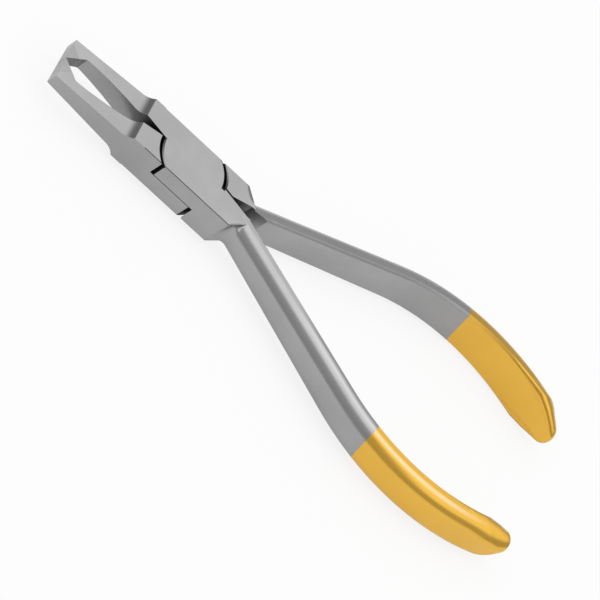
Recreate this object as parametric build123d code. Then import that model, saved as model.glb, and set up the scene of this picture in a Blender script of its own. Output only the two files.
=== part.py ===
from build123d import *
import math
import os

os.makedirs("parts", exist_ok=True)

# Straight orthodontic pliers: two forged halves that cross in a lap joint, with short
# pincer jaws in front of the pivot and two long bowed handles behind it.
# X runs from the tips to the handles, Z is the pivot axis, and Z = 0 is the joint's lower face.
# All sizes are in millimetres, all angles in degrees.

# Lap joint
joint_thickness = 8.0
joint_width = 12.3
joint_front = 13.4             # pivot to the front edge of the full-thickness joint
joint_back = 12.7              # pivot to the corner where the joint steps down to the handle
corner_cut = 3.8               # slanted cut behind that corner
lap_radius = 7.85              # round edge of each lap plate, about the pivot
shoulder_gap = 0.6             # room between a round edge and the other half's shoulder
lap_gap = 0.16                 # room between the two lap faces
seam_offset = 0.8              # how far a lap plate reaches past the long axis behind the pivot
seam_angle = 12.5              # edge of the lap plate behind its round part, from the long axis
closing_gap = 0.45             # room left behind the pivot when the tips meet
crotch_start = 2.9             # relief between the handles: where it starts behind the round edge,
crotch_reach = 2.8             # how far it runs past the joint's back corner,
crotch_depth = 2.15            # its distance from the long axis there,
crotch_end = 5.1               # and where it runs out on the handle's inner face
lap_bevel = 0.45               # bevel on the round edges
edge_break = 0.15              # small bevel on the long outer edges

# Jaws
jaw_reach = 33.2               # pivot to the flat front of the tips
tip_half_width = 5.6
tip_thickness = 3.0
tip_gap = 0.1                  # between the two closed edges
tip_depth = 4.0                # from the front of the tips to the widest part of the window
notch_depth = 1.5              # step from the joint down to the jaw
notch_run = 2.9                # length of the round slope of that step
window_half_width = 3.3
window_bow = 0.35              # how far the window's long edges bow outward
window_root_half_width = 1.6   # where the window narrows to the seam
root_land = 2.0                # from there to the front of the joint
mouth_half_width = 1.15        # half the seam's opening at the front of the joint
window_corner = 1.2
insert_length = 2.8            # cutting inserts, measured back from the tip face
insert_cover = 1.6             # steel left outside an insert at the tip
insert_root = 1.7              # an insert's reach from the long axis at its back

# Handles
splay_angle = 24.0             # straight part of a handle's inner face, from the long axis
splay_start = 14.9             # where the inner face's line crosses the long axis
bend_start = 52.8              # where the straight part turns into the bow
bow_radius = 52.0
bow_angle = 54.4
handle_width = 4.25            # from a handle's flat inner face to its outer flank
bow_thickness = 9.6            # where the bow starts; a handle flares from the joint on
face_flat = 1.6                # width of the flat along the inner edge of the lap side
draft_angle = 16.0             # slope of both sides towards the flank
outer_rounding = 3.1
round_limit = 0.85             # most of a handle's width that the rounding may take
inner_bevel = 0.45             # bevel along the inner face
end_length = 18.0              # tapered round end: its length,
end_steps = 4                  # the number of cones that its taper is turned in,
end_tip_radius = 2.9           # the radius of its tip,
end_cover = 0.05               # how far the taper clears the handle where it starts,
end_offset = 0.9               # the distance of its axis from the inner face,
end_aim = 4.0                  # and the angle before the bow's end where the axis leaves the bow
plating_front_angle = 10.9     # where the plating starts along the bow
plating_rear_angle = 20.1
plating_tilt = 13.0            # lean of the plating's edge
plating_thickness = 0.35

# Pivot screw
head_diameter = 7.0
head_height = 1.5
head_recess = 0.1              # how far the head lies below the joint's face
head_clearance = 0.12
shank_diameter = 4.6
running_clearance = 0.05
thread_diameter = 3.6
thread_length = 2.6
slot_width = 0.9
slot_depth = 0.7

middle = joint_thickness / 2
side = joint_width / 2
lap_face = middle + lap_gap / 2
splay = math.radians(splay_angle)
draft = math.radians(draft_angle)
bend = (bend_start, -(bend_start - splay_start) * math.tan(splay))
flare = math.atan2((bow_thickness / 2 - middle) * math.cos(splay), bend_start - splay_start)
bow_centre = (bend[0] + bow_radius * math.sin(splay), bend[1] + bow_radius * math.cos(splay))
reach = jaw_reach + bend_start + 2 * bow_radius   # longer than the whole tool, for cutting shapes


def prism(outline, low, high):
    """A flat outline, given as a closed line, raised between two heights."""
    return extrude(Pos(0, 0, low) * make_face(outline), amount=high - low)


def polygon_prism(points, low, high):
    return prism(Polyline(*points, close=True), low, high)


def inner_point(turn):
    """Point on a handle's inner face after the bow has turned by an angle."""
    normal = outward(turn)
    return (bow_centre[0] + bow_radius * normal[0], bow_centre[1] + bow_radius * normal[1])


def outward(turn):
    """Unit vector from a handle's inner face to its outer flank."""
    heading = math.radians(turn) - splay
    return (math.sin(heading), -math.cos(heading))


def inner_line(x):
    """Height of the straight part's inner face."""
    return -(x - splay_start) * math.tan(splay)


def seam_height(x):
    """Distance from the long axis of the front half's edge behind the lap."""
    return seam_offset - (x - lap_radius) * math.tan(math.radians(seam_angle))


def own_territory():
    """Plan areas that belong to the front half: above the lap plane and below it."""
    jaw_side = [
        (0, tip_gap / 2),
        (-lap_radius, tip_gap / 2),
        (-joint_front, mouth_half_width),
        (-joint_front - root_land, 0),
        (-reach, 0),
        (-reach, reach),
        (0, reach),
    ]
    neck = joint_back + crotch_reach
    past_handle = [(reach, side), (reach, -reach), (0, -reach)]
    upper_handle = [
        (0, seam_offset),
        (lap_radius, seam_height(lap_radius)),
        (neck, seam_height(neck)),
    ]
    seam_start = lap_radius + shoulder_gap / 2
    seam_end = lap_radius + crotch_start
    crossing = splay_start + crotch_end
    lower_handle = [
        (0, 0),
        (seam_start, -seam_height(seam_start) - closing_gap),
        (seam_end, -seam_height(seam_end) - closing_gap),
        (neck, -crotch_depth),
        (crossing, inner_line(crossing)),
    ]
    over = 2 * joint_thickness
    upper = polygon_prism(jaw_side, lap_face, over)
    upper = upper + polygon_prism(upper_handle + past_handle, lap_face, over)
    upper = upper + Pos(0, 0, (lap_face + over) / 2) * Cylinder(lap_radius, over - lap_face)
    lower = polygon_prism(jaw_side, -middle, lap_face)
    lower = lower + polygon_prism(lower_handle + past_handle, -middle, lap_face)
    seat = Cylinder(lap_radius + shoulder_gap, 2 * over)
    return upper + (lower - seat)


def joint_block():
    """Full-thickness block at the pivot, with its corner cut where the handle leaves it."""
    outline = [
        (-joint_front, -side),
        (joint_back, -side),
        (joint_back + corner_cut, -side + corner_cut),
        (joint_back + corner_cut, side),
        (-joint_front, side),
    ]
    block = polygon_prism(outline, 0, joint_thickness)
    long_edges = block.edges().filter_by(Axis.X)
    return chamfer(long_edges, edge_break)


def jaw():
    """Front half's jaw: a plan outline crossed with a tapering side outline."""
    return jaw_plan() & jaw_slab()


def jaw_plan():
    inside = -(joint_front + lap_radius) / 2
    tip = (-jaw_reach, tip_gap / 2)
    widest = (-jaw_reach + tip_depth, window_half_width)
    root = (-joint_front - root_land, window_root_half_width)
    outer = Polyline(tip, (-jaw_reach, tip_half_width), (-joint_front, side), (inside, side))
    seam = Polyline((inside, side), (inside, mouth_half_width), (-joint_front, mouth_half_width), root)
    window_edge = SagittaArc(root, widest, -window_bow)
    cutting_edge = Line(widest, tip)
    plan = prism(Curve() + [outer, seam, window_edge, cutting_edge], 0, joint_thickness)
    upright = plan.edges().filter_by(Axis.Z)
    corner = upright.sort_by_distance(Vector(widest[0], widest[1], middle))[0]
    return fillet(corner, window_corner)


def jaw_slab():
    """Side outline of a jaw, with a round step at each face where it meets the joint."""
    inside = -(joint_front + lap_radius) / 2
    tip = tip_thickness / 2
    root = middle - notch_depth
    foot = -joint_front - notch_run
    radius = (notch_run**2 + notch_depth**2) / (2 * notch_depth)
    upper = [
        Line((-jaw_reach, tip), (foot, root)),
        RadiusArc((foot, root), (-joint_front, middle), -radius),
        Line((-joint_front, middle), (inside, middle)),
    ]
    lower = [
        Line((inside, -middle), (-joint_front, -middle)),
        RadiusArc((-joint_front, -middle), (foot, -root), -radius),
        Line((foot, -root), (-jaw_reach, -tip)),
    ]
    back = Line((inside, middle), (inside, -middle))
    front = Line((-jaw_reach, -tip), (-jaw_reach, tip))
    profile = make_face(Curve() + upper + [back] + lower + [front])
    return Pos(0, 0, middle) * extrude(Plane.XZ * profile, amount=joint_width, both=True)


def tip_split():
    """Wedge that the cutting insert takes out of the front half's jaw."""
    back = -jaw_reach + insert_length
    height = tip_half_width - insert_cover
    outline = [
        (-jaw_reach - tip_depth, -tip_depth),
        (-jaw_reach - tip_depth, height),
        (-jaw_reach, height),
        (back, insert_root),
        (back, -tip_depth),
    ]
    return polygon_prism(outline, -middle, joint_thickness + middle)


def rounding():
    """A handle's outer rounding, limited so that its two sides leave some flank between them."""
    slope = math.tan(draft)
    height = min(bow_thickness / 2, middle) - handle_width * slope - inner_bevel / 2
    return min(outer_rounding, round_limit * handle_width, height / (1 / math.cos(draft) - slope))


def section(flat, inset, core):
    """One side of a handle's section, as (outward, up) from the inner face at mid-thickness."""
    slope = math.tan(draft)
    radius = rounding()
    peak = bow_thickness / 2 + flat * slope          # where the sloped side would meet the inner face
    centre = handle_width - radius
    centre_height = peak - centre * slope - radius / math.cos(draft)
    peak = peak - inset / math.cos(draft)
    radius = radius - inset
    bevel = inner_bevel - (2 - math.sqrt(2)) * inset
    flat_end = flat - inset * math.tan(draft / 2) if flat > 0 else inset + bevel
    top = peak - flat_end * slope
    flank_top = (handle_width - inset, centre_height)
    slope_start = (centre + radius * math.sin(draft), centre_height + radius * math.cos(draft))
    points = [slope_start, (flat_end, top)]
    if flat > 0:
        points.append((inset + bevel, top))
    # the blank runs on below mid-thickness and is cut there
    foot = -middle / 2
    points += [(inset, top - bevel), (inset, foot), (handle_width - inset, foot), flank_top]
    turn = Line(flank_top, slope_start) if core else RadiusArc(flank_top, slope_start, -radius)
    return make_face(Curve() + [turn, Polyline(*points)])


def handle_side(flat, inset, core):
    """Upper side of the front half's handle: a straight part that rises from the joint, and the bow."""
    level = (math.cos(splay), -math.sin(splay))
    ahead = (level[0] * math.cos(flare), level[1] * math.cos(flare), math.sin(flare))
    upright = (-level[0] * math.sin(flare), -level[1] * math.sin(flare), math.cos(flare))
    back = (-ahead[0], -ahead[1], -ahead[2])
    plane = Plane(origin=(bend[0], bend[1], middle), x_dir=(*outward(0), 0), z_dir=back)
    across = plane * section(flat, inset, core)
    past = bow_angle + math.degrees(end_tip_radius / bow_radius)
    bar = revolve(across, Axis((*bow_centre, middle), upright), past)
    if not core:
        run = (bend_start - lap_radius / 2) / level[0]
        bar = bar + extrude(across, amount=run, dir=back)
    upper_space = Pos(0, 0, middle + reach / 2) * Box(4 * reach, 4 * reach, reach)
    return bar & upper_space


def handle_bar(inset, core):
    """Front half's handle from inside the joint to its end, shrunk evenly by an inset.

    The outside has round edges and a round tip; the core under the plating, which is the bow
    alone, has flat bevels and a blunt tip that lie just inside those.
    """
    lap_side = handle_side(face_flat, inset, core)
    back_side = mirror(handle_side(0, inset, core), about=Plane.XY.offset(middle))
    return lap_side + back_side - end_trim(inset, core)


def end_trim(inset, core):
    """What is ground away to round a handle's end: a block less a tapering body with a round nose."""
    aim = bow_angle - end_aim
    point = inner_point(aim)
    normal = outward(aim)
    ahead = (-normal[1], normal[0])
    left = math.radians(end_aim) * bow_radius
    tip = (
        point[0] + end_offset * normal[0] + left * ahead[0],
        point[1] + end_offset * normal[1] + left * ahead[1],
    )
    plane = Plane(origin=(tip[0], tip[1], middle), x_dir=(ahead[0], ahead[1], 0), z_dir=(0, 0, 1))
    # the taper starts at the handle's inner edges, parallel to the axis, and steepens up to the nose
    before = end_length - left
    bow_drop = bow_radius - math.sqrt(bow_radius**2 - before**2)
    swell = bow_thickness / 2 + math.tan(flare) * bow_radius * math.sin(math.radians(bow_angle))
    base = max(math.hypot(end_offset + bow_drop, swell), handle_width - end_offset) + end_cover
    taper = end_length - end_tip_radius
    radius = (taper**2 + base**2 - end_tip_radius**2) / (2 * (base - end_tip_radius))
    steepest = math.asin(taper / (radius - end_tip_radius))
    points = []
    for step in range(end_steps + 1):
        lean = steepest * step / end_steps
        points.append((-end_length + radius * math.sin(lean), base - radius + radius * math.cos(lean)))
    if core:
        lean = math.atan2(points[0][1] - points[-1][1], points[-1][0] - points[0][0])
        down = (-inset * math.sin(lean), -inset * math.cos(lean))
        start = (points[0][0] + down[0], points[0][1] + down[1])
        blunt = (points[-1][0] + down[0], points[-1][1] + down[1])
        outline = Polyline(start, blunt, (blunt[0], 0), (start[0], 0), close=True)
    else:
        nose = RadiusArc(points[-1], (0, 0), end_tip_radius)
        outline = Curve() + [Polyline(*points), nose, Polyline((0, 0), (-end_length, 0), points[0])]
    body = revolve(make_face(outline), Axis.X, 360)
    block = Pos(end_length / 2, 0, 0) * Box(3 * end_length, 4 * end_length, 4 * end_length)
    return plane * (block - body)


def beyond_plating_line(turn, tilt):
    """Space past the leaning plane across a handle where the plating starts."""
    point = inner_point(turn)
    normal = outward(turn)
    plane = Plane(origin=(point[0], point[1], middle), x_dir=(-normal[1], normal[0], 0), z_dir=(0, 0, 1))
    space = Pos(bow_radius, 0, 0) * Box(2 * bow_radius, bow_radius, bow_radius)
    return plane * (Rot(0, -tilt, 0) * space)


def half(plating_turn, tilt):
    """Front half as one forging, with its cutting insert and its plating as separate solids."""
    whole_jaw = jaw()
    wedge = tip_split()
    insert = whole_jaw & wedge
    bar = handle_bar(0, core=False)
    core = handle_bar(plating_thickness, core=True)
    plating = (bar & beyond_plating_line(plating_turn, tilt)) - core
    body = joint_block() + (whole_jaw - wedge) + bar
    body = body & own_territory()
    body = bevel_lap_edges(body) - plating
    return body, insert, plating


def bevel_lap_edges(body):
    """Bevels on the lap plate's round edge and on the opposite shoulder's round edge."""
    close = lap_gap / 10
    round_edges = []
    for edge in body.edges().filter_by(GeomType.CIRCLE):
        spot = edge @ 0.5
        on_plate = abs(edge.radius - lap_radius) < close and abs(spot.Z - joint_thickness) < close
        on_seat = abs(edge.radius - lap_radius - shoulder_gap) < close and abs(spot.Z) < close
        if (on_plate and spot.X < 0) or (on_seat and spot.X > 0):
            round_edges.append(edge)
    return chamfer(round_edges, lap_bevel)


def turn_over(solid):
    """The same forging turned half a turn about the pliers' long axis."""
    return Pos(0, 0, middle) * (Rot(180, 0, 0) * (Pos(0, 0, -middle) * solid))


def upright_cylinder(diameter, low, high):
    return Pos(0, 0, (low + high) / 2) * Cylinder(diameter / 2, high - low)


def pivot_screw():
    """Flat slotted head in the rear half, plain shank, and a thread that ends inside the front half."""
    shank_low = head_recess + head_height
    head = upright_cylinder(head_diameter, head_recess, shank_low)
    shank = upright_cylinder(shank_diameter, shank_low, lap_face)
    thread = upright_cylinder(thread_diameter, lap_face, lap_face + thread_length)
    slot = Pos(0, 0, head_recess) * Box(2 * head_diameter, slot_width, 2 * slot_depth)
    return head + shank + thread - slot


front_half, front_insert, front_plating = half(plating_front_angle, plating_tilt)
rear_half, rear_insert, rear_plating = half(plating_rear_angle, -plating_tilt)

front_half = front_half - upright_cylinder(thread_diameter, lap_face, lap_face + thread_length)

rear_half = turn_over(rear_half)
rear_insert = turn_over(rear_insert)
rear_plating = turn_over(rear_plating)
bore = upright_cylinder(shank_diameter + 2 * running_clearance, -middle, lap_face)
head_seat_top = head_recess + head_height + head_clearance
head_seat = upright_cylinder(head_diameter + 2 * head_clearance, -middle, head_seat_top)
rear_half = rear_half - bore - head_seat

export_step(front_half, "parts/front_half.step")
export_step(rear_half, "parts/rear_half.step")
export_step(pivot_screw(), "parts/pivot_screw.step")
export_step(front_insert, "parts/front_insert.step")
export_step(rear_insert, "parts/rear_insert.step")
export_step(front_plating, "parts/front_plating.step")
export_step(rear_plating, "parts/rear_plating.step")
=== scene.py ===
# %% [markdown]
# Orthodontic pliers: two forged steel halves that cross in a lap joint, with pincer jaws in
# front of the pivot and bowed handles whose ends are plated gold.
# The shapes come from the CAD model, which is loaded as it is and never moved. Blender adds one
# form, the hollow curve at the root of each handle. The rest is how the metal looks: satin steel,
# a turned screw, ground carbide, gold plating, and the light.

# %% Load the frame
import math
from types import SimpleNamespace

import bpy
from mathutils import Matrix, Vector


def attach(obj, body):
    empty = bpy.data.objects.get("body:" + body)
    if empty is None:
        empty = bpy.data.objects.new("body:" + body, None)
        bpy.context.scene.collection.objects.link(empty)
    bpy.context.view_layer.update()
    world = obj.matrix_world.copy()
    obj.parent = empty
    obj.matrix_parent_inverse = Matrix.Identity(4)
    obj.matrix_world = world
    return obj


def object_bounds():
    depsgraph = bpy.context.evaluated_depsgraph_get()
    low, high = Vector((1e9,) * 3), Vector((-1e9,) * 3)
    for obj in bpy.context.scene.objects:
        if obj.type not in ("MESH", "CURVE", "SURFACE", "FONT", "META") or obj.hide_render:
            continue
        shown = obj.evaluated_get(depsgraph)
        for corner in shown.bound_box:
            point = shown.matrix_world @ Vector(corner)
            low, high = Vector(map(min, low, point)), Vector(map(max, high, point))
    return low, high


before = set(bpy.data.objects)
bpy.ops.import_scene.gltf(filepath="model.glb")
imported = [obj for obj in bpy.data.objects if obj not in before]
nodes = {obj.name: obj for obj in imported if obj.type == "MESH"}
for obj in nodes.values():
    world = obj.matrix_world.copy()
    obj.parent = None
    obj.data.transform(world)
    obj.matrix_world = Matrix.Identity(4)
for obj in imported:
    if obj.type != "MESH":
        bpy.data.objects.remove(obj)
cad_low, cad_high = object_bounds()
mm_per_m = 1000.0
print("nodes", sorted(nodes))
print("box in mm", [round(mm_per_m * v, 1) for v in (*cad_low, *cad_high)])

# %% [markdown]
# Small helpers come first. A material is a tree of nodes, so one function places a node and
# sets its values, another maps one range of numbers to another, and others do sums. Most
# finishes are built from these.

# %% Node helpers
def place(tree, kind, **values):
    """A node of a kind, with its properties and input values set by name."""
    node = tree.nodes.new(kind)
    for name, value in values.items():
        if name in node.inputs:
            node.inputs[name].default_value = value
        else:
            setattr(node, name, value)
    return node


def feed(tree, socket, value):
    """Sets a socket to a number or a colour, or links another node's output to it."""
    if isinstance(value, tuple):
        socket.default_value = (*value, 1)
    elif isinstance(value, (int, float)):
        socket.default_value = value
    else:
        tree.links.new(value, socket)


def remap(tree, source, low, high, to_low=0.0, to_high=1.0):
    """A number eased from one range to another, and held at the ends."""
    node = place(tree, "ShaderNodeMapRange", interpolation_type="SMOOTHSTEP")
    tree.links.new(source, node.inputs["Value"])
    labels = ("From Min", "From Max", "To Min", "To Max")
    for label, value in zip(labels, (low, high, to_low, to_high)):
        node.inputs[label].default_value = value
    return node.outputs["Result"]


print("node helpers: place, feed, remap")


# %% Sums
def sums(tree, operation, *values):
    """A Math node; each input is a number or another node's output."""
    node = place(tree, "ShaderNodeMath", operation=operation)
    for socket, value in zip(node.inputs, values):
        feed(tree, socket, value)
    return node.outputs["Value"]


def product(tree, first, *others):
    """Several numbers multiplied together. Masks that have to hold all at once are joined so."""
    for other in others:
        first = sums(tree, "MULTIPLY", first, other)
    return first


def distance(tree, first, second):
    """The long side of a right-angled triangle."""
    square = sums(tree, "MULTIPLY", first, first)
    return sums(tree, "SQRT", sums(tree, "MULTIPLY_ADD", second, second, square))


print("sums: sums, product, distance")

# %% Mixing
# A Mix node has sockets for every kind of value. They are found by number: first, second, result.
mix_sockets = {"FLOAT": (2, 3, 0), "VECTOR": (4, 5, 1), "RGBA": (6, 7, 2)}


def mix(tree, kind, factor, first, second):
    """Between two values of a kind: the first where the factor is 0, the second where it is 1."""
    node = place(tree, "ShaderNodeMix", data_type=kind)
    first_socket, second_socket, result = mix_sockets[kind]
    for index, value in ((0, factor), (first_socket, first), (second_socket, second)):
        feed(tree, node.inputs[index], value)
    return node.outputs[result]


def pick(tree, switch, first, second):
    """The first number where the switch is 0 and the second where it is 1."""
    return mix(tree, "FLOAT", switch, first, second)


def tint(tree, factor, first, second):
    """A colour between two others by a factor; each is three numbers or a node's output."""
    return mix(tree, "RGBA", factor, first, second)


print("mixing: mix, pick, tint")


# %% Groups and coordinates
def new_group(name, inputs, outputs):
    """An empty shader group with named number inputs and named outputs."""
    group = bpy.data.node_groups.new(name, "ShaderNodeTree")
    for label, value in inputs:
        socket = group.interface.new_socket(label, in_out="INPUT", socket_type="NodeSocketFloat")
        socket.default_value = value
    for label, kind in outputs:
        group.interface.new_socket(label, in_out="OUTPUT", socket_type=kind)
    return group, group.nodes.new("NodeGroupInput"), group.nodes.new("NodeGroupOutput")


def axes(tree, kind):
    """X, Y and Z of a coordinate: Object is the point in metres, Normal the way it faces."""
    coordinates = place(tree, "ShaderNodeTexCoord")
    parts = place(tree, "ShaderNodeSeparateXYZ")
    tree.links.new(coordinates.outputs[kind], parts.inputs["Vector"])
    return [parts.outputs[axis] for axis in "XYZ"]


def point_mm(tree):
    """X, Y and Z of the point in millimetres."""
    return [sums(tree, "MULTIPLY", axis, mm_per_m) for axis in axes(tree, "Object")]


print("groups and coordinates: new_group, axes, point_mm")

# %% [markdown]
# Metal that has been polished by hand carries fine lines along the stroke, and a polisher
# strokes each handle along its length, round the bow. A noise stretched along a straight axis
# would cross the handles at a slant. So the noise gets coordinates of its own: how far along
# the handle a point is, and how far from its inner face. Both follow from the straight run and
# the arc that the handle is drawn with, and the two handles share them by mirror symmetry.
# All lengths are in millimetres.

# %% Lengths of a handle
joint_middle = 4.0                         # height of the plane between the two lap plates
splay = math.radians(24.0)
splay_start, bend_start, bow_radius = 14.9, 52.8, 52.0
handle_width, handle_round = 4.25, 3.1     # from the inner face to the flank, and its round
straight_run = (bend_start - splay_start) / math.cos(splay)
bend_side = (bend_start - splay_start) * math.tan(splay)
bow_x = bend_start + bow_radius * math.sin(splay)
bow_side = bow_radius * math.cos(splay) - bend_side
print("bow centre in mm", round(bow_x, 2), round(bow_side, 2))


# %% Along and across a handle
def from_bow_centre(tree, x, out):
    """How far a point is from the centre of the bow: in X, sideways and straight."""
    from_x = sums(tree, "SUBTRACT", x, bow_x)
    from_side = sums(tree, "ADD", out, bow_side)
    return from_x, from_side, distance(tree, from_x, from_side)


def handle_coordinates(tree):
    """Along and across a handle, or plain X and Y in front of the handles, and the point itself."""
    x, y, z = point_mm(tree)
    out = sums(tree, "ABSOLUTE", y)
    ahead = sums(tree, "SUBTRACT", x, splay_start)
    cos, sin = math.cos(splay), math.sin(splay)
    run = sums(tree, "MULTIPLY_ADD", ahead, cos, sums(tree, "MULTIPLY", out, sin))
    off = sums(tree, "MULTIPLY_ADD", ahead, -sin, sums(tree, "MULTIPLY", out, cos))
    from_x, from_side, span = from_bow_centre(tree, x, out)
    turn = sums(tree, "ADD", sums(tree, "ARCTAN2", from_x, from_side), splay)
    arc_run = sums(tree, "MULTIPLY_ADD", turn, bow_radius, straight_run)
    arc_off = sums(tree, "SUBTRACT", span, bow_radius)
    bent = sums(tree, "GREATER_THAN", turn, 0.0)
    on_handle = sums(tree, "GREATER_THAN", x, splay_start)
    along = pick(tree, on_handle, x, pick(tree, bent, run, arc_run))
    across = pick(tree, on_handle, out, pick(tree, bent, off, arc_off))
    return along, across, (x, y, z)


def on_lap_side(tree, y, z):
    """1 on the side of a half where its lap and its crest are, 0 on the other side."""
    level = sums(tree, "SUBTRACT", z, joint_middle)
    return sums(tree, "LESS_THAN", sums(tree, "MULTIPLY", y, level), 0.0)


print("straight run of a handle in mm", round(straight_run, 2))

# %% [markdown]
# The lines are far finer than a pixel, so they show as a slight unevenness of gloss. A second,
# large and soft noise gives the cloudy patches that handling and passivating leave. Both come
# from one group, because steel, carbide and gold all have them at different strengths.

# %% Polishing marks group
def spread(tree, noise):
    """A noise made to fill 0 to 1; most of its values lie between 0.3 and 0.7."""
    return remap(tree, noise.outputs["Fac"], 0.3, 0.7)


def make_polish_group():
    group, source, sink = new_group(
        "polishing_marks",
        [("Lines per mm", 4.0), ("Stretch", 30.0), ("Cloud size mm", 14.0)],
        [("Lines", "NodeSocketFloat"), ("Clouds", "NodeSocketFloat")],
    )
    along, across, (x, y, z) = handle_coordinates(group)
    fine = source.outputs["Lines per mm"]
    coarse = sums(group, "DIVIDE", fine, source.outputs["Stretch"])
    stroke = place(group, "ShaderNodeCombineXYZ")
    for axis, value, scale in (("X", along, coarse), ("Y", across, fine), ("Z", z, fine)):
        group.links.new(sums(group, "MULTIPLY", value, scale), stroke.inputs[axis])
    lines = place(group, "ShaderNodeTexNoise", Scale=1.0, Detail=4.0, Roughness=0.6)
    group.links.new(stroke.outputs["Vector"], lines.inputs["Vector"])
    clouds = place(group, "ShaderNodeTexNoise", Detail=3.0, Roughness=0.55)
    point = place(group, "ShaderNodeTexCoord").outputs["Object"]
    group.links.new(point, clouds.inputs["Vector"])
    cloud_scale = sums(group, "DIVIDE", mm_per_m, source.outputs["Cloud size mm"])
    group.links.new(cloud_scale, clouds.inputs["Scale"])
    group.links.new(spread(group, lines), sink.inputs["Lines"])
    group.links.new(spread(group, clouds), sink.inputs["Clouds"])
    return group


polish_group = make_polish_group()
print("group", polish_group.name, len(polish_group.nodes), "nodes")

# %% [markdown]
# No real edge is perfectly sharp. Edges that are rubbed in use and in polishing are rounded by
# a tenth of a millimetre and shine a little brighter. The Bevel node finds them without any
# change to the mesh: where its rounded normal differs from the true one, there is an edge.

# %% Rubbed edges group
flat_cosine, edge_cosine = 0.995, 0.9      # of the angle between the two normals


def make_edge_group():
    group, source, sink = new_group(
        "rubbed_edges",
        [("Radius mm", 0.1)],
        [("Edge", "NodeSocketFloat"), ("Normal", "NodeSocketVector")],
    )
    bevel = place(group, "ShaderNodeBevel", samples=12)
    radius = sums(group, "DIVIDE", source.outputs["Radius mm"], mm_per_m)
    group.links.new(radius, bevel.inputs["Radius"])
    geometry = place(group, "ShaderNodeNewGeometry")
    dot = place(group, "ShaderNodeVectorMath", operation="DOT_PRODUCT")
    group.links.new(bevel.outputs["Normal"], dot.inputs[0])
    group.links.new(geometry.outputs["Normal"], dot.inputs[1])
    edge = remap(group, dot.outputs["Value"], flat_cosine, edge_cosine)
    group.links.new(edge, sink.inputs["Edge"])
    group.links.new(bevel.outputs["Normal"], sink.inputs["Normal"])
    return group


edge_group = make_edge_group()
print("group", edge_group.name, len(edge_group.nodes), "nodes")

# %% [markdown]
# The gaps of the joint get painted shade: where shade falls in them they are coloured near black,
# so the seams of a lap joint look like drawn black lines. Ambient occlusion finds such places: it
# says how much open air a spot has within a short reach. At the two round shoulders the painted
# shade also runs over the edge, a line a few tenths of a millimetre wide that follows the circle
# about the pivot. On one face the shoulders lie where X and Y have the same sign, and on the other
# face, which is turned over, where they differ. The flanks of the joint get none of it.

# %% Painted seam shade group
shut_air, open_air = 0.28, 0.68            # share of open air in a gap, and outside it
line_inside, line_outside = 7.74, 8.58     # radii of the painted shade line at the shoulders
line_fade = 0.12
least_corner = 2.0                         # X times Y times height, past which a shoulder lies
flank_facing = 0.9


def make_seam_shade_group():
    group, source, sink = new_group(
        "painted_seam_shade", [("Reach mm", 1.5)], [("Seam", "NodeSocketFloat")]
    )
    # Painted shade: near black where ambient occlusion finds a gap, and along a line round the
    # pivot at the two shoulders.
    air = place(group, "ShaderNodeAmbientOcclusion", samples=8)
    reach = sums(group, "DIVIDE", source.outputs["Reach mm"], mm_per_m)
    group.links.new(reach, air.inputs["Distance"])
    shut = remap(group, air.outputs["AO"], shut_air, open_air, 1.0, 0.0)
    x, y, z = point_mm(group)
    ring = distance(group, x, y)
    corner = product(group, x, y, sums(group, "SUBTRACT", z, joint_middle))
    face_y = sums(group, "ABSOLUTE", axes(group, "Normal")[1])
    line = product(
        group,
        remap(group, ring, line_inside - line_fade, line_inside),
        remap(group, ring, line_outside, line_outside + line_fade, 1.0, 0.0),
        sums(group, "GREATER_THAN", corner, least_corner),
        sums(group, "LESS_THAN", face_y, flank_facing),
    )
    group.links.new(sums(group, "MAXIMUM", shut, line), sink.inputs["Seam"])
    return group


seam_shade_group = make_seam_shade_group()
print("group", seam_shade_group.name, len(seam_shade_group.nodes), "nodes")

# %% [markdown]
# The handles get a painted highlight along their crest, the long crease between the flat strip by
# the inner face and the slope behind it, which each half has on its lap side only. Steel is painted
# brighter there, and gold paler. The strip itself gets painted shade, darker than the rest of the
# steel. Both are at a fixed distance from the inner face, so the coordinates of the polishing marks
# find them, and the direction that the surface faces keeps them off the flank.

# %% Painted crest highlight and strip shade group
crest_run_start, crest_run_end = (18.0, 32.0), (70.0, 84.0)      # along the handle
strip_border = (0.9, 1.35)                             # across it
crest_facing, strip_facing = (0.75, 0.92), (0.5, 0.65)
crest_core = 0.15                                      # share of its width that gets the full painted highlight


def make_crest_light_group():
    group, source, sink = new_group(
        "painted_crest_light",
        [("Crest mm", 1.8), ("Half width mm", 0.8)],
        [("Crest highlight", "NodeSocketFloat"), ("Strip", "NodeSocketFloat")],
    )
    along, across, (x, y, z) = handle_coordinates(group)
    face_z = sums(group, "ABSOLUTE", axes(group, "Normal")[2])
    crest_run = product(group, remap(group, along, *crest_run_start), on_lap_side(group, y, z))
    off_crest = sums(group, "SUBTRACT", across, source.outputs["Crest mm"])
    off_crest = sums(group, "ABSOLUTE", off_crest)
    share = sums(group, "DIVIDE", off_crest, source.outputs["Half width mm"])
    # Painted highlight along the crest.
    crest_highlight = product(
        group,
        crest_run,
        remap(group, along, *crest_run_end, 1.0, 0.0),
        remap(group, share, crest_core, 1.0, 1.0, 0.0),
        remap(group, face_z, *crest_facing),
    )
    group.links.new(crest_highlight, sink.inputs["Crest highlight"])
    # Painted shade on the flat strip by the inner face.
    beside = remap(group, across, *strip_border, 1.0, 0.0)
    strip = product(group, crest_run, beside, remap(group, face_z, *strip_facing))
    group.links.new(strip, sink.inputs["Strip"])
    return group


crest_light_group = make_crest_light_group()
print("group", crest_light_group.name, len(crest_light_group.nodes), "nodes")

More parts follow.
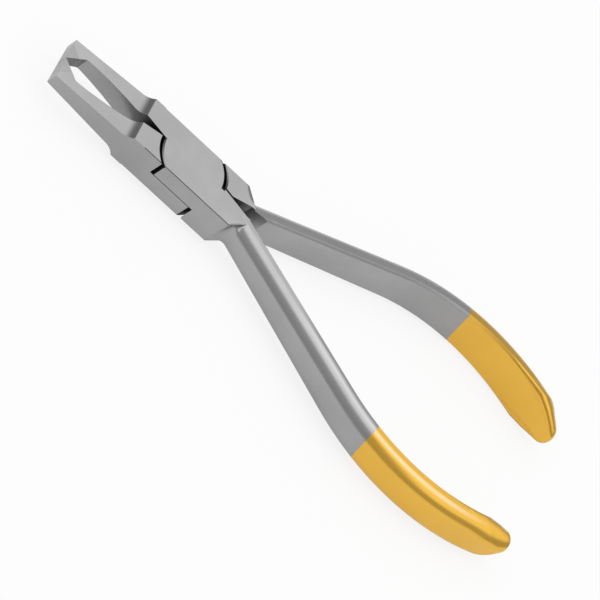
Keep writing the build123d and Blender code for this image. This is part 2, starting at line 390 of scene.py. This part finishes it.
# %% [markdown]
# The ends of the handles are blended by hand, so the crest runs on to the tip and fades into the
# round. The CAD model cuts the ends to a few cones, which would shine like facets. This group
# gives the direction that a hand-blended end would face: away from a line inside the handle that
# keeps the shape of the round, and sinks towards the tip. On the other side, which has no crest,
# the flat inner face runs out to the rim.

# %% Facing of a blended end
tip_start, tip_end = 74.0, 91.0            # along the handle
core_height = (2.4, 0.3)                   # of the line inside, at those two places
core_out = handle_width - handle_round     # its distance from the inner face
least_rise = 0.05


def blended_facing(group, along, across, point):
    """The direction, in the object's own axes, that a hand-blended end would face."""
    x, y, z = point
    lap_side = on_lap_side(group, y, z)
    level = sums(group, "SUBTRACT", z, joint_middle)
    core = remap(group, along, tip_start, tip_end, *core_height)
    above = sums(group, "SUBTRACT", sums(group, "ABSOLUTE", level), core)
    rise = pick(group, lap_side, 0.0, sums(group, "MAXIMUM", above, least_rise))
    beyond = sums(group, "MAXIMUM", sums(group, "SUBTRACT", across, core_out), 0.0)
    out = pick(group, lap_side, -1.0, beyond)
    from_x, from_side, span = from_bow_centre(group, x, sums(group, "ABSOLUTE", y))
    share = sums(group, "DIVIDE", out, span)
    facing = place(group, "ShaderNodeCombineXYZ")
    group.links.new(product(group, from_x, share), facing.inputs["X"])
    sideways = product(group, from_side, sums(group, "SIGN", y), share)
    group.links.new(sideways, facing.inputs["Y"])
    group.links.new(product(group, rise, sums(group, "SIGN", level)), facing.inputs["Z"])
    return facing.outputs["Vector"], lap_side


print("line inside the handle is", round(core_out, 2), "mm from its inner face")

# %% Blended tips group
blend_in, blend_out, last_share = (74.0, 83.0), (88.0, 91.0), 0.4      # along the handle
flank_width, rim_width, rim_share = (0.3, 1.0), (0.4, 1.6), 0.35       # across it


def make_tip_group():
    group, source, sink = new_group(
        "blended_tips",
        [("Strength", 0.85)],
        [("Weight", "NodeSocketFloat"), ("Normal", "NodeSocketVector")],
    )
    along, across, point = handle_coordinates(group)
    facing, lap_side = blended_facing(group, along, across, point)
    world = place(group, "ShaderNodeVectorTransform", vector_type="NORMAL",
                  convert_from="OBJECT", convert_to="WORLD")
    group.links.new(facing, world.inputs["Vector"])
    unit = place(group, "ShaderNodeVectorMath", operation="NORMALIZE")
    group.links.new(world.outputs["Vector"], unit.inputs[0])
    group.links.new(unit.outputs["Vector"], sink.inputs["Normal"])
    rim = remap(group, across, *rim_width, rim_share, 0.0)
    weight = product(
        group,
        pick(group, lap_side, rim, remap(group, across, *flank_width)),
        remap(group, along, *blend_in),
        remap(group, along, *blend_out, 1.0, last_share),
        source.outputs["Strength"],
    )
    group.links.new(weight, sink.inputs["Weight"])
    return group


tip_group = make_tip_group()
print("group", tip_group.name, len(tip_group.nodes), "nodes")

# %% [markdown]
# Every finish here is a bare metal, so they share one recipe: metallic throughout, a colour
# that drifts between two close tones, a gloss that the polishing marks disturb, brighter,
# smoother edges and painted shade that blackens the seams. What differs is the colour and how
# strong each mark is.

# %% Starting a metal
def start_metal(name, lines_mm, stretch, cloud_mm, seam_mm):
    """A material with the shared groups placed in it, all ready to be joined up."""
    material = bpy.data.materials.new(name)
    material.use_nodes = True
    tree = material.node_tree
    shader = tree.nodes["Principled BSDF"]
    shader.inputs["Metallic"].default_value = 1.0
    marks = place(tree, "ShaderNodeGroup", node_tree=polish_group)
    marks.inputs["Lines per mm"].default_value = lines_mm
    marks.inputs["Stretch"].default_value = stretch
    marks.inputs["Cloud size mm"].default_value = cloud_mm
    edges = place(tree, "ShaderNodeGroup", node_tree=edge_group)
    seams = place(tree, "ShaderNodeGroup", node_tree=seam_shade_group)
    seams.inputs["Reach mm"].default_value = seam_mm
    return SimpleNamespace(material=material, tree=tree, shader=shader,
                           marks=marks, edges=edges, seams=seams)


def blend_marks(metal, line_share):
    """One factor from the fine lines and the soft clouds."""
    clouds = sums(metal.tree, "MULTIPLY", metal.marks.outputs["Clouds"], 1.0 - line_share)
    return sums(metal.tree, "MULTIPLY_ADD", metal.marks.outputs["Lines"], line_share, clouds)


print("a metal starts with", polish_group.name, edge_group.name, seam_shade_group.name)

# %% Finishing a metal
# Painted shade: the near black that the seams are tinted to.
seam_shade_black = (0.01, 0.01, 0.009)
edge_gloss, seam_dullness = -0.04, 0.3     # what an edge and a seam add to the roughness
line_strength = 0.14


def finish_metal(metal, colour, drift, lines, rubbed, share, gloss, line_depth, normal=None):
    """Joins a colour and the marks to the shader. gloss is the smoothest and dullest roughness."""
    tree, shader = metal.tree, metal.shader
    edge, seam = metal.edges.outputs["Edge"], metal.seams.outputs["Seam"]
    paler = tint(tree, product(tree, edge, share), colour, rubbed)
    # Painted shade: the seam mask tints the colour to near black, and it also makes the seams
    # duller.
    tree.links.new(tint(tree, seam, paler, seam_shade_black), shader.inputs["Base Color"])
    smooth, dull = gloss
    uneven = remap(tree, drift, 0.0, 1.0, dull, smooth)
    smoother = sums(tree, "MULTIPLY_ADD", edge, edge_gloss, uneven)
    dulled_in_seams = sums(tree, "MULTIPLY_ADD", seam, seam_dullness, smoother)
    tree.links.new(dulled_in_seams, shader.inputs["Roughness"])
    bump = place(tree, "ShaderNodeBump", Strength=line_strength, Distance=line_depth / mm_per_m)
    tree.links.new(lines, bump.inputs["Height"])
    tree.links.new(normal or metal.edges.outputs["Normal"], bump.inputs["Normal"])
    tree.links.new(bump.outputs["Normal"], shader.inputs["Normal"])


def dress(material, *names):
    """Puts a material on CAD nodes, in place of the plain one they were packed with."""
    for name in names:
        slots = nodes[name].data.materials
        slots.clear()
        slots.append(material)
        print(material.name, "on", name)


print("a metal ends with its colour, roughness and normal")

# %% [markdown]
# The halves are forged stainless steel with a satin finish: grey, soft in its reflections and
# fairly even, with no mirror spots. Between the roots of the handles its upright walls get painted
# shade, and so do the backs of the tips; the broken edges of the joint get a painted dark
# reflection.

# %% Painted shade on the steel
crotch_start, crotch_end, crotch_side = (7.5, 9.5), (12.5, 21.5), (3.0, 4.5)
upright_facing = (0.7, 0.9)
jaw_tip, back_facing, back_share = (-28.5, -27.5), (0.2, 0.5), 0.75
joint_end, joint_rim, rim_shade = 13.5, (5.5, 5.9), 0.8
slanted_facing = (0.5, 0.6)


def painted_shade_places(tree, point):
    """1 where shade is painted: between the roots, on the tips' backs, on broken edges."""
    x, y, z = point
    face_x, face_y, face_z = axes(tree, "Normal")
    side_on, face_on = (sums(tree, "ABSOLUTE", axis) for axis in (face_y, face_z))
    out = sums(tree, "ABSOLUTE", y)
    # Painted shade between the roots and on the tips' backs, and a painted dark reflection on the
    # broken edges.
    crotch = product(
        tree,
        remap(tree, x, *crotch_start),
        remap(tree, x, *crotch_end, 1.0, 0.0),
        remap(tree, out, *crotch_side, 1.0, 0.0),
        remap(tree, face_on, *upright_facing, 1.0, 0.0),
    )
    tip_back = product(
        tree,
        remap(tree, x, *jaw_tip, 1.0, 0.0),
        remap(tree, face_x, *back_facing, 0.0, back_share),
    )
    broken_edge = product(
        tree,
        remap(tree, side_on, *slanted_facing),
        remap(tree, face_on, *slanted_facing),
        remap(tree, out, *joint_rim, 0.0, rim_shade),
        sums(tree, "LESS_THAN", sums(tree, "ABSOLUTE", x), joint_end),
        on_lap_side(tree, y, z),
    )
    return sums(tree, "MAXIMUM", sums(tree, "MAXIMUM", crotch, tip_back), broken_edge)


print("painted shade between the roots, X in mm", crotch_start[0], "to", crotch_end[1])

# %% Satin steel
steel_tones = (0.355, 0.356, 0.358), (0.4, 0.4, 0.402)
# Painted shade on the strip, and a painted highlight on the crest.
strip_shade_grey, crest_highlight_grey = (0.25, 0.25, 0.252), (0.46, 0.46, 0.462)
# The dark used for the painted shade between the roots, on the tips' backs and on the broken edges.
shade_black = (0.085, 0.085, 0.084)
soft_start, soft_end, soft_side = (11.5, 13.5), (18.0, 23.0), (3.0, 3.5)


def make_satin_steel(name, plain_mm, root_mm):
    """plain_mm is the rounding of the edges, and root_mm that at the root of a handle."""
    metal = start_metal(name, lines_mm=4.0, stretch=40.0, cloud_mm=15.0, seam_mm=2.8)
    tree = metal.tree
    x, y, z = point_mm(tree)
    root = product(
        tree,
        remap(tree, x, *soft_start),
        remap(tree, x, *soft_end, 1.0, 0.0),
        remap(tree, sums(tree, "ABSOLUTE", y), *soft_side),
    )
    radius = remap(tree, root, 0.0, 1.0, plain_mm, root_mm)
    tree.links.new(radius, metal.edges.inputs["Radius mm"])
    palm = place(tree, "ShaderNodeGroup", node_tree=crest_light_group)
    drift = blend_marks(metal, line_share=0.22)
    body = tint(tree, drift, *steel_tones)
    # Painted shade on the strip, a painted highlight on the crest, then the painted shade between
    # the roots, on the tips' backs and on the broken edges.
    strip_shaded = tint(tree, palm.outputs["Strip"], body, strip_shade_grey)
    paler = tint(tree, palm.outputs["Crest highlight"], strip_shaded, crest_highlight_grey)
    colour = tint(tree, painted_shade_places(tree, (x, y, z)), paler, shade_black)
    finish_metal(metal, colour, drift, metal.marks.outputs["Lines"],
                 rubbed=(0.45, 0.45, 0.45), share=0.05, gloss=(0.23, 0.29), line_depth=0.003)
    return metal.material


dress(make_satin_steel("satin_steel", 0.1, 1.4), "front_half", "rear_half")

# %% [markdown]
# A forging has no sharp inner corners. Where a handle leaves the slanted back of the joint, the
# metal runs from one into the other in a hollow curve. It is made here as a thin wedge on each
# half: rows follow the round of the handle from its underside over the flank to its top, and each
# row is an arc that is tangent to the handle at one end and to the slanted back at the other.
# A row's arc is shorter where the joint's top or bottom face leaves less room for it.

# %% Rows of the root
crest_height, strip_width, draft = 4.0, 1.6, math.radians(16.0)
handle_rise = 0.8                          # what half its height gains up to the bend
flare = math.atan2(handle_rise * math.cos(splay), bend_start - splay_start)
row_turn, row_count = 74.0, 18             # degrees of the round, and the steps they are cut into


def root_rows(crest, first, last):
    """Rows round one side of a handle: distance from the inner face, height, and facing."""
    middle_up = crest - core_out * math.tan(draft) - handle_round / math.cos(draft)
    rows = []
    for step in range(row_count + 1):
        lift = math.radians(first + (last - first) * step / row_count)
        face_out, face_up = math.cos(lift), math.sin(lift)
        out, up = core_out + handle_round * face_out, middle_up + handle_round * face_up
        rows.append((out, up, face_out, face_up))
    return rows


top_rows = root_rows(crest_height + strip_width * math.tan(draft), 0.0, row_turn)
low_rows = root_rows(crest_height, row_turn, 0.0)
print("rows of the root", len(top_rows) + len(low_rows))

# %% Arc of a row
back_line = 18.85                          # X minus Y on the joint's slanted back
ahead = Vector((math.cos(splay), -math.sin(splay)))
outward = Vector((-math.sin(splay), -math.cos(splay)))
ahead_gain, outward_gain = ahead.x - ahead.y, outward.x - outward.y
root_reach, root_lead = 1.95, 0.4          # an arc's reach, and how far it runs on into the metal
root_dip, root_core = 0.05, 0.08           # slope of that run, and depth of the hidden corner
root_margin = 0.02                         # what is kept free below the joint's flat faces
arc_steps = 10


def root_arc(out, up, face_out, face_up):
    """Points of one row in (along, out, up): the hidden corner first, then the hollow arc."""
    start = (back_line - splay_start - out * outward_gain) / ahead_gain
    lean = math.atan(outward_gain / ahead_gain * face_out)
    whole = root_reach + root_lead
    if face_up > 0:
        room = joint_middle - root_margin - up - start * math.tan(flare)
        whole = min(whole, max(room, root_margin) / (face_up * math.cos(lean)))
    reach = whole * root_reach / (root_reach + root_lead)
    sunk = root_dip * (whole - reach)
    radius = reach * math.tan(math.pi / 4 + lean / 2)
    outline = [(-root_core, -root_core), (whole, -sunk)]
    for step in range(arc_steps + 1):
        turn = (math.pi / 2 - lean) * step / arc_steps
        outline.append((reach - radius * math.sin(turn), radius - radius * math.cos(turn)))
    cos, sin = math.cos(lean), math.sin(lean)
    outline.append((-whole * sin - sunk * cos, whole * cos - sunk * sin))
    points = []
    for along, rise in outline:
        run = start + along
        points.append((run, out + face_out * rise, up + run * math.tan(flare) + face_up * rise))
    return points


print("points in a row", len(root_arc(*top_rows[0])))


# %% Rings of the root
def root_rings(turned_over):
    """One ring of points in metres for each row, from the underside round to the top."""
    rings = []
    for rows, sign in ((low_rows, -1), (top_rows, 1)):
        for row in rows:
            ring = []
            for along, out, up in root_arc(*row):
                flat = Vector((splay_start, 0.0)) + ahead * along + outward * out
                point = Vector((flat.x, flat.y, joint_middle + sign * up))
                if turned_over:
                    point = Vector((point.x, -point.y, 2 * joint_middle - point.z))
                ring.append(point / mm_per_m)
            rings.append(ring)
    return rings


print("rings of the root", len(root_rings(False)))


# %% Forged roots
def make_root(name, turned_over):
    """A closed mesh: four-sided faces from ring to ring, and a cap at each end."""
    rings = root_rings(turned_over)
    size = len(rings[0])
    points = [point for ring in rings for point in ring]
    sides = []
    for row in range(0, len(points) - size, size):
        for step in range(size):
            after = (step + 1) % size
            sides.append((row + step, row + size + step, row + size + after, row + after))
    last_ring = range(len(points) - size, len(points))
    caps = [tuple(range(size)), tuple(reversed(last_ring))]
    mesh = bpy.data.meshes.new(name)
    mesh.from_pydata(points, [], sides + caps)
    for index, face in enumerate(mesh.polygons):
        face.use_smooth = index < len(sides) and 0 < index % size < size - 1
    piece = bpy.data.objects.new(name, mesh)
    bpy.context.scene.collection.objects.link(piece)
    return piece


root_steel = make_satin_steel("root_steel", 0.005, 0.005)
for name, body, turned_over in (("front_root", "front", False), ("rear_root", "rear", True)):
    piece = make_root(name, turned_over)
    piece.data.materials.append(root_steel)
    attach(piece, body)
    print(name, "on", body, len(piece.data.polygons), "faces")

# %% [markdown]
# The pivot screw is turned on a lathe, and the tool leaves rings round the axis on its flat
# head. The pivot axis is the Z axis of the frame, so the rings are a noise on the distance
# from it.

# %% Turned screw
screw_tones = (0.32, 0.32, 0.325), (0.39, 0.39, 0.395)
rings_per_mm, ring_share = 9.0, 0.6


def make_turned_screw():
    metal = start_metal("turned_screw", lines_mm=6.0, stretch=6.0, cloud_mm=5.0, seam_mm=0.6)
    tree = metal.tree
    metal.edges.inputs["Radius mm"].default_value = 0.08
    x, y, height = point_mm(tree)
    rings = place(tree, "ShaderNodeTexNoise", noise_dimensions="1D", Scale=1.0, Detail=2.0)
    tree.links.new(product(tree, distance(tree, x, y), rings_per_mm), rings.inputs["W"])
    turned = spread(tree, rings)
    clouds = sums(tree, "MULTIPLY", metal.marks.outputs["Clouds"], 1.0 - ring_share)
    drift = sums(tree, "MULTIPLY_ADD", turned, ring_share, clouds)
    finish_metal(metal, tint(tree, drift, *screw_tones), drift, turned,
                 rubbed=(0.5, 0.5, 0.5), share=0.3, gloss=(0.2, 0.3), line_depth=0.006)
    return metal.material


dress(make_turned_screw(), "pivot_screw")

# %% [markdown]
# The cutting tips are brazed-in pieces of carbide. They are ground flush with the steel and
# are only a little darker and duller than it, so the joint shows as a hair line. Their backs,
# which face the window, get painted shade.

# %% Ground carbide
carbide_tones = (0.33, 0.33, 0.335), (0.375, 0.375, 0.38)
# The grey of the painted shade on the backs that face the window.
window_shade_grey = (0.14, 0.14, 0.143)


def make_ground_carbide():
    metal = start_metal("ground_carbide", lines_mm=8.0, stretch=12.0, cloud_mm=5.0, seam_mm=0.8)
    tree = metal.tree
    metal.edges.inputs["Radius mm"].default_value = 0.05
    drift = blend_marks(metal, line_share=0.5)
    body = tint(tree, drift, *carbide_tones)
    # Painted shade on the backs that face the window.
    behind = remap(tree, axes(tree, "Normal")[0], *back_facing)
    finish_metal(metal, tint(tree, behind, body, window_shade_grey), drift, metal.marks.outputs["Lines"],
                 rubbed=(0.48, 0.48, 0.485), share=0.2, gloss=(0.24, 0.3), line_depth=0.004)
    return metal.material


dress(make_ground_carbide(), "front_insert", "rear_insert")

# %% [markdown]
# The ends carry a thin layer of gold over the same satin surface, so the marks are those of
# the steel and only the colour changes. Three things are its own. The crest of each handle gets
# a pale painted highlight. The broad faces that face up or down get painted shade, a deeper gold.
# And the round tip is polished by hand, so its edges are rounded far more than those of the
# long sides, and it faces the way a blended end would.

# %% Gold plating
gold_tones = (0.8, 0.465, 0.073), (0.84, 0.5, 0.083)
# Painted shade on the broad faces, and a pale painted highlight on the crest.
broad_face_shade_gold, crest_highlight_gold = (0.6, 0.345, 0.05), (0.68, 0.62, 0.5)
round_start, round_end = 80.0, 90.0        # X from which the edges grow rounder, and up to which
long_edge, tip_edge = 0.05, 1.2            # the rounding of the edges at those two places
broad_facing, deep_share = (0.55, 0.95), 0.6
streak_range = (0.45, 0.65)                # how much of the painted crest highlight shows between the lines


def make_gold_plating():
    metal = start_metal("gold_plating", lines_mm=4.0, stretch=40.0, cloud_mm=15.0, seam_mm=0.6)
    tree = metal.tree
    x = point_mm(tree)[0]
    radius = remap(tree, x, round_start, round_end, long_edge, tip_edge)
    tree.links.new(radius, metal.edges.inputs["Radius mm"])
    tips = place(tree, "ShaderNodeGroup", node_tree=tip_group)
    blended = mix(tree, "VECTOR", tips.outputs["Weight"],
                  metal.edges.outputs["Normal"], tips.outputs["Normal"])
    palm = place(tree, "ShaderNodeGroup", node_tree=crest_light_group)
    palm.inputs["Crest mm"].default_value = 2.1
    palm.inputs["Half width mm"].default_value = 0.6
    streaks = remap(tree, metal.marks.outputs["Lines"], 0.0, 1.0, *streak_range)
    drift = blend_marks(metal, line_share=0.25)
    gold = tint(tree, drift, *gold_tones)
    # Painted shade on the broad faces, then a painted highlight on the crest, broken up by the
    # polishing lines.
    face_z = sums(tree, "ABSOLUTE", axes(tree, "Normal")[2])
    broad_faces_shaded = tint(tree, remap(tree, face_z, *broad_facing, 0.0, deep_share), gold, broad_face_shade_gold)
    colour = tint(tree, product(tree, palm.outputs["Crest highlight"], streaks), broad_faces_shaded, crest_highlight_gold)
    finish_metal(metal, colour, drift, metal.marks.outputs["Lines"],
                 rubbed=(0.8, 0.5, 0.1), share=0.03, gloss=(0.22, 0.27), line_depth=0.002,
                 normal=blended)
    return metal.material


dress(make_gold_plating(), "front_plating", "rear_plating")

# %% [markdown]
# The camera stands a little under a metre away with a long lens, above and in front of the tool
# and turned so that the tips point up and to the left of the picture.

# %% Camera
camera_right = Vector((0.70223, 0.32353, 0.63419))
camera_back = Vector((-0.29700, -0.67645, 0.67395))
camera_place = (-0.22926, -0.60721, 0.60489)

camera_data = bpy.data.cameras.new("camera")
camera_data.sensor_width = 36.0
camera_data.lens = 265.9
camera_data.clip_start = 0.05
camera_data.clip_end = 20.0
camera = bpy.data.objects.new("camera", camera_data)
bpy.context.scene.collection.objects.link(camera)
camera_up = camera_back.cross(camera_right)
turn = Matrix((camera_right, camera_up, camera_back)).transposed().to_4x4()
camera.matrix_world = Matrix.Translation(camera_place) @ turn
bpy.context.scene.camera = camera
print("camera", [round(v, 3) for v in camera.location])

# %% [markdown]
# The floor is plain white paper. Seen directly it is white, and it still darkens a little
# under the tool. The metal sees the same white paper, with more of the shade that the tool
# casts on it, because its sides look at the strip of paper right beside them.

# %% White paper
seen_white, mirrored_white = 0.85, 0.5     # how much of it is plain white, seen and mirrored


def make_paper():
    material = bpy.data.materials.new("white_paper")
    material.use_nodes = True
    tree = material.node_tree
    tree.nodes.clear()
    output = place(tree, "ShaderNodeOutputMaterial")
    paper = place(tree, "ShaderNodeBsdfDiffuse", Color=(0.9, 0.9, 0.9, 1))
    white = place(tree, "ShaderNodeEmission", Color=(1, 1, 1, 1), Strength=1.0)
    rays = place(tree, "ShaderNodeLightPath").outputs
    mirrored = sums(tree, "MAXIMUM", rays["Is Glossy Ray"], rays["Is Transmission Ray"])
    seen = sums(tree, "MULTIPLY", rays["Is Camera Ray"], seen_white)
    share = sums(tree, "MAXIMUM", seen, sums(tree, "MULTIPLY", mirrored, mirrored_white))
    mixed = place(tree, "ShaderNodeMixShader")
    for socket, source in zip(mixed.inputs, (share, paper.outputs[0], white.outputs[0])):
        tree.links.new(source, socket)
    tree.links.new(mixed.outputs[0], output.inputs["Surface"])
    return material


white_paper = make_paper()
print("material", white_paper.name)

# %% Floor
floor_half, floor_gap = 6.0, 0.0002        # half its width, and the gap under the tool, in metres


def make_floor():
    mesh = bpy.data.meshes.new("floor")
    corners = [(x * floor_half, y * floor_half, 0) for x, y in ((-1, -1), (1, -1), (1, 1), (-1, 1))]
    mesh.from_pydata(corners, [], [(0, 1, 2, 3)])
    mesh.materials.append(white_paper)
    floor = bpy.data.objects.new("floor", mesh)
    floor.location.z = cad_low.z - floor_gap
    bpy.context.scene.collection.objects.link(floor)
    return floor


floor = make_floor()
print("floor at", round(mm_per_m * floor.location.z, 2), "mm")

# %% [markdown]
# Metal shows its surroundings, so the light is a room rather than a lamp: dim walls, darker on
# the left, a broad soft light above and behind the tool, and a dim patch round the camera,
# where no light stands. The world shader is that room, painted by direction.

# %% Studio light
# Each light has a range, in height or in the cosine from a direction, and the light at its ends.
high_light, top_light = (0.5, 0.69, 0.0, 0.81), (0.78, 0.96, 0.0, 0.22)
left_wall, left_light = (-0.8, 0.6, 0.0), (0.55, 0.95, 0.5, 0.26)
back_wall, back_light = (0.3, 0.95, 0.1), (0.7, 0.97, 0.0, 0.1)
camera_patch, patch_share = (-0.2, -0.72, 0.66), (0.78, 0.97, 1.0, 0.08)


def make_room():
    world = bpy.data.worlds.new("room")
    bpy.context.scene.world = world
    world.use_nodes = True
    tree = world.node_tree
    background = tree.nodes["Background"]
    direction = place(tree, "ShaderNodeTexCoord").outputs["Generated"]
    height = axes(tree, "Generated")[2]

    def towards(side, light):
        """A light that changes with the angle from one side of the room."""
        facing = place(tree, "ShaderNodeVectorMath", operation="DOT_PRODUCT")
        facing.inputs[1].default_value = Vector(side).normalized()
        tree.links.new(direction, facing.inputs[0])
        return remap(tree, facing.outputs["Value"], *light)

    above = sums(tree, "ADD", remap(tree, height, *high_light), remap(tree, height, *top_light))
    walls = sums(tree, "ADD", towards(left_wall, left_light), towards(back_wall, back_light))
    shade = towards(camera_patch, patch_share)
    lit = sums(tree, "MULTIPLY_ADD", above, shade, walls)
    background.inputs["Color"].default_value = (1, 1, 1, 1)
    tree.links.new(lit, background.inputs["Strength"])
    return world


print("world", make_room().name)
bpy.context.scene.view_settings.view_transform = "Standard"
